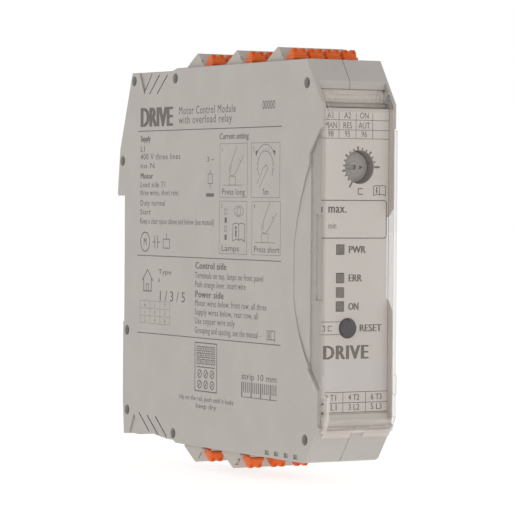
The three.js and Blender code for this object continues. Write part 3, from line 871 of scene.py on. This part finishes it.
def dial_scale(ink):
    """240 degrees of ticks from three o'clock round by the top, one every 16 degrees."""
    count = 15
    centre = Vector((DIAL.x, DIAL.z))
    for i in range(count + 1):
        angle = math.radians(16 * i)
        way = Vector((math.cos(angle), math.sin(angle)))
        if i in (0, count):
            end, width = 6.1, 0.5
        elif i % 3 == 0:
            end, width = 5.3, 0.5
        else:
            end, width = 4.95, 0.42
        ink.line([centre + way * 4.45, centre + way * end], width)


def open_book(ink, u, v, width, height):
    """A manual symbol: two pages with a letter i."""
    middle = u + width / 2
    left = [(middle, v + height * 0.06), (u + width * 0.3, v + height * 0.13), (u, v),
            (u, v + height * 0.93), (u + width * 0.3, v + height), (middle, v + height * 0.93)]
    ink.line(left, 0.2, closed=True)
    ink.line([(2 * middle - a, b) for a, b in left], 0.2, closed=True)
    ink.bar(u + width * 0.2, v + height * 0.25, u + width * 0.32, v + height * 0.6)
    ink.dot(u + width * 0.26, v + height * 0.74, width * 0.07)


def upper_table(ink):
    """Names of the twelve upper terminals; the fourth column is left blank."""
    rows, columns = (39.5, 37.7, 35.15, 32.95), (-5.08, 0.05, 5.08)
    for v in rows[1:]:
        ink.bar(-PANEL_HALF, v - 0.07, PANEL_HALF - 0.05, v + 0.07)
    for u in columns:
        ink.bar(u - 0.07, rows[3], u + 0.07, rows[0])
    cells = (("A1", "A2", "ON"), ("MAN", "RES", "AUT"), ("98", "95", "96"))
    for row, words in enumerate(cells):
        for column, word in enumerate(words):
            ink.text(word, -7.55 + 5.04 * column, rows[row + 1] + 0.42, 1.55, align="CENTER")


def setting_range(ink):
    """The dial's scale, the manual symbol, and a frame with the largest and the smallest setting."""
    dial_scale(ink)
    ink.line([(2.2, 20.15), (0.85, 20.15), (0.85, 18.7), (2.2, 18.7)], 0.26)
    open_book(ink, 5.5, 18.4, 3.65, 2.6)
    ink.bar(PANEL_HALF - 0.02, -37.3, PANEL_HALF + 0.1, 40.4)
    ink.line([(-PANEL_HALF, 17.1), (8.9, 17.1), (9.25, 16.95), (9.45, 16.55), (9.45, 7.98), (9.25, 7.58),
              (8.9, 7.43), (-PANEL_HALF, 7.43)], 0.24)
    ink.text("max.", -8.3, 13.92, 2.35, 5.4, weight=0.18, tracking=1.08)
    ink.bar(-10.2, 13.92, -9.8, 15.45)
    ink.text("min", -8.15, 9.84, 1.6, 2.35)


def lamp_and_button_words(ink):
    """A word right of three lamps and of the button, and the button's marks between two lines."""
    for lamp, word, width in ((LAMPS[0], "PWR", 4.95), (LAMPS[1], "ERR", 3.85), (LAMPS[3], "ON", 2.95)):
        ink.text(word, -2.05, lamp.z - 0.9, 1.8, width, weight=0.22)
    ink.text("RESET", 1.37, RESET.z - 0.9, 1.8, 6.55, weight=0.2)
    for v in (-14.0, -17.27):
        ink.bar(-10.1, v - 0.08, RESET.x - 1.9, v + 0.08)
    for left, right in ((-7.9, -6.75), (-8.95, -9.6)):
        ink.line([(right, -15.1), (left, -15.1), (left, -16.3), (right, -16.3)], 0.22)


def front_print():
    ink = Print("front_print", (0, FACE_Y, 0), (1, 0, 0), (0, 0, 1))
    upper_table(ink)
    setting_range(ink)
    lamp_and_button_words(ink)
    ink.text("DRIVE", -9.7, -23.6, 3.5, 13.2, weight=0.5, tracking=1.12)
    ink.piece()


def lower_table():
    """Terminal table at the foot of the panel, on the narrower field that shows under the cover."""
    ink = Print("terminal_table", (0, FACE_Y, 0), (1, 0, 0), (0, 0, 1))
    rows, columns = (-32.1, -34.85, -37.3), (-3.3, 3.55)
    for v in rows:
        ink.bar(-8.7, v - 0.09, PANEL_HALF - 0.05, v + 0.09)
    for u in columns:
        ink.bar(u - 0.08, rows[2], u + 0.08, rows[0])
    for column in range(BOTTOM_POLES):
        u = -6.9 + 6.85 * column
        ink.text(f"{2 * column + 2} T{column + 1}", u, -34.2, 1.5, 3.3, align="CENTER", weight=0.07)
        ink.text(f"{2 * column + 1} L{column + 1}", u, -36.7, 1.5, 3.3, align="CENTER", weight=0.07)
    ink.piece()


def blank_field():
    """A paler writing field under the button."""
    low, high = -31.2, -23.95
    outline = fillet(rectangle(-10.05, low, 10.05, high), 0.3)
    field = prism("y", outline, FACE_Y - 0.04, FACE_Y)
    finish_piece(field, "writing_field", FIELD)


# ---------------- print on the left wall

def finger_and_button(ink):
    """A finger pressing a button."""
    ink.bar(1.6, 3.2, 12.6, 3.32)
    ink.frame(5.2, 3.3, 8.6, 5.6, 0.12)
    ink.line([(9.4, 13.9), (5.7, 8.4), (5.1, 7.0), (5.6, 5.9), (7.0, 5.8), (8.6, 6.6), (13.0, 11.2)], 0.12)
    ink.line([(6.4, 8.6), (5.8, 7.2), (6.4, 6.6)], 0.1)
    ink.line([(10.6, 10.2), (11.2, 9.4)], 0.1)


def turning_dial(ink):
    """A dial with ticks, a screwdriver blade and a double arrow over it."""
    with ink.at(7.4, 8.2):
        ink.arc(0, 0, 4.0, -30, 210, 0.12)
        for i in range(13):
            a = math.radians(-30 + 20 * i)
            way = Vector((math.cos(a), math.sin(a)))
            ink.line([way * 4.1, way * 4.7], 0.12)
        ink.arc(0, 0.6, 5.2, 35, 145, 0.14)
        for side in (-1, 1):
            ink.fill([(side * 4.0, 4.3), (side * 5.3, 3.9), (side * 4.75, 2.6)])
        ink.line([(-4.4, -4.6), (-1.2, -0.6), (0.4, 0.5), (1.4, -0.6), (0, -2.0), (-3.0, -5.6)], 0.12)


def lamp_code(ink):
    """Lamps, an eye and the manual symbol."""
    for i, draw in enumerate((ink.frame, ink.bar, ink.frame, ink.bar)):
        draw(2.9, 10.6 - 2.3 * i, 4.1, 12.0 - 2.3 * i)
    ink.arc(10.6, 9.3, 3.6, 40, 140, 0.12)
    ink.arc(10.6, 13.6, 3.6, 220, 320, 0.12)
    ink.arc(10.6, 11.4, 1.1, 0, 360, 0.14)
    open_book(ink, 7.4, 3.4, 6.4, 4.9)


def motor_symbol(ink, radius):
    """The drawing symbol of a motor: a circle with a letter M."""
    ink.arc(0, 0, radius, 0, 360, 0.32)
    ink.text("M", 0, -radius * 0.38, radius * 0.8, align="CENTER", weight=0.01)


def capacitor_symbol(ink):
    """Two plates with a lead each."""
    for side in (-1, 1):
        ink.bar(0.8 * side - 0.15, -1.8, 0.8 * side + 0.15, 1.8)
        ink.line([(0.8 * side, 0), (2.35 * side, 0)], 0.24)


def relay_symbol(ink):
    """A coil's box with its plunger."""
    ink.line([(1.9, 4.1), (1.9, 2.5), (0, 2.5), (3.8, 2.5)], 0.24)
    ink.frame(0, 0, 3.8, 2.5, 0.24)


def indoor_symbol(ink):
    """A small house, for use indoors."""
    ink.line([(-3.2, 0), (0, 3.2), (3.2, 0)], 0.3)
    ink.line([(-2.3, 0.6), (-2.3, -2.9), (2.3, -2.9), (2.3, 0.6)], 0.3)
    ink.line([(-0.7, -2.8), (-0.7, -0.9), (0.7, -0.9), (0.7, -2.8)], 0.24)


def terminal_map(ink):
    """A plan of the terminals in a frame: three rows of four small ones and two of three large ones."""
    ink.frame(0, 0, 12.2, 13.2, 0.3)
    for row in range(3):
        for column in range(TOP_POLES):
            with ink.at(1.1 + 2.65 * column, 11.0 - 1.75 * row):
                ink.frame(0, 0, 2.05, 1.2, 0.26)
                ink.bar(0.6, 0.42, 1.4, 0.8)
    ink.bar(1.1, 6.45, 11.1, 6.75)
    for row in range(2):
        for column in range(BOTTOM_POLES):
            with ink.at(2.6 + 3.5 * column, 4.75 - 2.9 * row):
                ink.arc(0, 0, 1.05, 0, 360, 0.3)
                ink.line([(-0.55, -0.55), (0.55, 0.55)], 0.32)


def strip_gauge(ink):
    """A gauge for the stripped length of a wire: one line a millimetre, with longer ones each fifth."""
    ink.text("strip 10 mm", 0, 4.7, 1.7, 18.3)
    for i in range(19):
        low, width = (0, 0.5) if i % 5 == 0 else (1.2, 0.36)
        ink.bar(i, low, i + width, 4.0)
    ink.bar(0, -0.1, 18.5, 0.08)


# words, baseline, height of capitals, whole length, extra weight
LEFT_COLUMN = [
    ("Supply", 33.34, 1.6, 5.8, 0.2), ("L1", 30.45, 1.6, 2.4, 0), ("400 V three lines", 28.2, 1.65, 23.6, 0),
    ("no N", 25.75, 1.5, 8.2, 0), ("Motor", 22.8, 1.6, 7.3, 0.2), ("Load side T1", 20.4, 1.55, 14.7, 0),
    ("three wires, short runs", 18.15, 1.55, 22.6, 0), ("Duty normal", 15.2, 1.55, 14.7, 0),
    ("Start", 12.7, 1.5, 6.2, 0), ("Keep a clear space above and below (see manual)", 10.1, 1.6, 42.7, 0),
]
MIDDLE_COLUMN = [
    ("Control side", -1.9, 1.85, 17.1, 0.22), ("Terminals on top, lamps on front panel", -4.5, 1.7, 37.1, 0),
    ("Push orange lever, insert wire", -6.95, 1.7, 27.7, 0), ("Power side", -9.75, 1.85, 15.6, 0.22),
    ("Motor wires below, front row, all three", -12.05, 1.7, 38.8, 0),
    ("Supply wires below, rear row, all", -14.5, 1.7, 34.5, 0), ("Use copper wire only", -16.95, 1.7, 22, 0),
    ("Grouping and spacing, see the manual -", -19.5, 1.7, 35.9, 0),
]


def heading(ink):
    """The name at the top, and the three rules that divide the wall."""
    for v in (36.25, 1.1, -20.8):
        ink.bar(8.6, v - 0.12, 88.9, v + 0.12)
    ink.text("DRIVE", 9.5, 37.5, 5.3, 18.3, weight=1.0)
    ink.text("Motor Control Module", 32.65, 40.5, 2.2, 31.6, tracking=1.15)
    ink.text("with overload relay", 32.65, 37.95, 2.2, 29.8, tracking=1.15)
    ink.text("00000", 78.7, 40.9, 2.3, 6.6)


def text_column(ink, u, rows):
    """Lines of text that all start at u."""
    for words, v, height, width, weight in rows:
        ink.text(words, u, v, height, width, weight=weight, tracking=1.1)


def supply_symbol(ink):
    """Three phases through a fuse to a bar."""
    ink.text("3 ~", 48.8, 27.3, 1.45, 3.9)
    ink.line([(50.8, 25.2), (50.8, 24.0)], 0.16)
    ink.frame(49.6, 21.4, 52.0, 24.0, 0.16)
    ink.line([(50.8, 21.4), (50.8, 20.0)], 0.16)
    ink.bar(48.6, 17.83, 52.9, 18.75)


def setting_pictures(ink):
    """Four numbered pictures of how the current is set."""
    ink.text("Current setting", 55.7, 33.35, 1.6, 15.7, weight=0.08)
    corners = ((56.1, 17.7), (73.1, 17.7), (56.0, 2.55), (73.6, 2.55))
    for number, (corner, tall) in enumerate(zip(corners, (14.4, 14.4, 14.1, 14.1)), 1):
        with ink.at(*corner):
            ink.frame(0, 0, 14.9, tall, 0.09)
            ink.text(str(number), 0.9, 12.2, 1.2)
    for corner, draw in zip(corners, (finger_and_button, turning_dial, lamp_code, finger_and_button)):
        with ink.at(*corner):
            draw(ink)
    captions = (("Press long", 1.1, 12.4), ("Turn", 6.0, 3.0), ("Lamps", 1.1, 9.4),
                ("Press short", 1.1, 13.2))
    for corner, (words, u, width) in zip(corners, captions):
        with ink.at(*corner):
            ink.text(words, u, 0.7, 1.6, width)


def use_symbols(ink):
    """Motor, capacitor, relay and house, and the type beside them."""
    with ink.at(13.2, 5.0):
        motor_symbol(ink, 2.7)
    with ink.at(19.85, 5.0):
        capacitor_symbol(ink)
    with ink.at(24.0, 3.4):
        relay_symbol(ink)
    with ink.at(14.8, -6.0):
        indoor_symbol(ink)
    ink.text("Type", 21.2, -3.9, 1.3, 7.6)
    ink.text("A", 21.2, -6.3, 1.3)
    ink.text("1 / 3 / 5", 21.2, -11.4, 2.8, 14.7)


def wire_table(ink):
    """Which terminals carry the supply and which the motor."""
    row_height, column_width = 2.1, 5.93
    for i in range(4):
        v, u = -11.7 - row_height * i, 10.4 + column_width * i
        ink.bar(10.4, v, 28.2, v + 0.08)
        ink.bar(u, -18.0, u + 0.08, -11.65)
    for row, words in enumerate((("in", "L", "T"), ("1", "3", "5"), ("2", "4", "6"))):
        for column, word in enumerate(words):
            ink.text(word, 13.4 + column_width * column, -13.3 - row_height * row, 1.1, align="CENTER")


def side_print():
    """All print on the left wall. u is the distance in front of the rail seat's plane, v is height."""
    ink = Print("side_print", (-HALF_WIDTH, 0, 0), (0, -1, 0), (0, 0, 1))
    heading(ink)
    text_column(ink, 10.05, LEFT_COLUMN)
    supply_symbol(ink)
    setting_pictures(ink)
    use_symbols(ink)
    wire_table(ink)
    text_column(ink, 42.6, MIDDLE_COLUMN)
    open_book(ink, 82.0, -19.8, 4.0, 2.6)
    with ink.at(42.9, -35.3):
        terminal_map(ink)
    with ink.at(68.6, -35.4):
        strip_gauge(ink)
    ink.text("clip on the rail, push until it locks", 33.8, -38.0, 1.3, 30.4)
    ink.text("keep dry", 43.4, -40.0, 1.3, 11.3)
    ink.piece()


# ---------------- digits at the terminals

def terminal_digits():
    """Numbers of the poles on the front slope of each ridge, left of each lever."""
    for row, blocks, up in (("top", TOP_BLOCKS, 1), ("bottom", BOTTOM_BLOCKS, -1)):
        for number, (low, high) in enumerate(blocks):
            crest = (0, low.y + RIDGE_BACK - 0.15, high.z if up > 0 else low.z)
            ink = Print(f"{row}_digits_{number + 1}", crest, (1, 0, 0), (0, 3.35 * up, 3.75))
            if up > 0:
                for pole in range(TOP_POLES):
                    ink.text(str(4 * number + pole + 1), (pole - 1.5) * TOP_PITCH - 2.5, -3.6, 1.2)
            else:
                for pole in range(BOTTOM_POLES):
                    ink.text(str(2 * pole + 2 - number), (pole - 1) * BOTTOM_PITCH - 3.1, 1.3, 2.4)
            ink.piece()


# ---------------- camera, light and floor

ROOM_TOP = 0.55  # brightness of the room's ceiling, against 1 at eye level
CAMERA = {"place": (-393.42, -736.72, 17.19), "azimuth": -30.0724, "elevation": 1.152, "roll": 0.4074,
          "lens": 202.0, "sensor": 36.0}


def add_camera():
    data = bpy.data.cameras.new("camera")
    data.lens = CAMERA["lens"]
    data.sensor_width = CAMERA["sensor"]
    data.clip_start = 0.01
    camera = bpy.data.objects.new("camera", data)
    bpy.context.scene.collection.objects.link(camera)
    azimuth, elevation, roll = (math.radians(CAMERA[k]) for k in ("azimuth", "elevation", "roll"))
    back = Vector((math.sin(azimuth) * math.cos(elevation), -math.cos(azimuth) * math.cos(elevation),
                   math.sin(elevation)))
    level = (-back).cross(Vector((0, 0, 1))).normalized()
    above = level.cross(-back)
    right = level * math.cos(roll) + above * math.sin(roll)
    up = above * math.cos(roll) - level * math.sin(roll)
    camera.matrix_world = (Matrix.Translation(Vector(CAMERA["place"]) * MM)
                           @ Matrix((right, up, back)).transposed().to_4x4())
    bpy.context.scene.camera = camera


def area_light(name, place, size, power):
    """A square soft box at place, in metres, that faces the middle of the object."""
    data = bpy.data.lights.new(name, "AREA")
    data.size = size
    data.energy = power
    light = bpy.data.objects.new(name, data)
    bpy.context.scene.collection.objects.link(light)
    aim = Vector((0, -0.055, 0)) - Vector(place)
    light.matrix_world = Matrix.Translation(place) @ aim.to_track_quat("-Z", "Y").to_matrix().to_4x4()


def studio():
    """White room light that is brightest from below, two soft boxes and a pale glowing floor."""
    world = bpy.data.worlds.new("studio")
    bpy.context.scene.world = world
    world.use_nodes = True
    sky = Graph(world.node_tree)
    height = sky.parts_of(sky.add("TexCoord").outputs["Generated"])["Z"]
    background = sky.nodes["Background"].inputs
    sky.feed(background["Strength"], sky.ramp(height, 0.12, 0.6, 1.0, ROOM_TOP))
    sky.feed(background["Color"], (1, 1, 1, 1))
    area_light("key", (-0.75, -0.75, 0.35), 0.7, 0.6)
    area_light("fill", (0.8, -0.7, 0.2), 0.7, 0.4)
    bpy.context.scene.view_settings.view_transform = "Standard"
    bm = bmesh.new()
    bmesh.ops.create_circle(bm, cap_ends=True, segments=96, radius=6)
    floor = workpiece(bm, "floor")
    floor.location.z = cad_box[0][2] - 0.002
    look = Look("floor_white")
    look.set("Base Color", look.mix(look.noise(400, 2), (0.5, 0.5, 0.5, 1), (0.52, 0.52, 0.52, 1)))
    look.set("Roughness", 0.9)
    look.set("Emission Color", (1, 1, 1, 1))
    look.set("Emission Strength", 0.7)
    floor.data.materials.append(look.material)


# ---------------- build

add_camera()
clear_cover()
setting_dial()
dial_well()
reset_button()
release_levers()
seam_lips()
terminal_ridges()
window_panes()
panel_surround()
control_clamps()
board_parts()
front_print()
lower_table()
blank_field()
side_print()
terminal_digits()
dress_nodes()
studio()
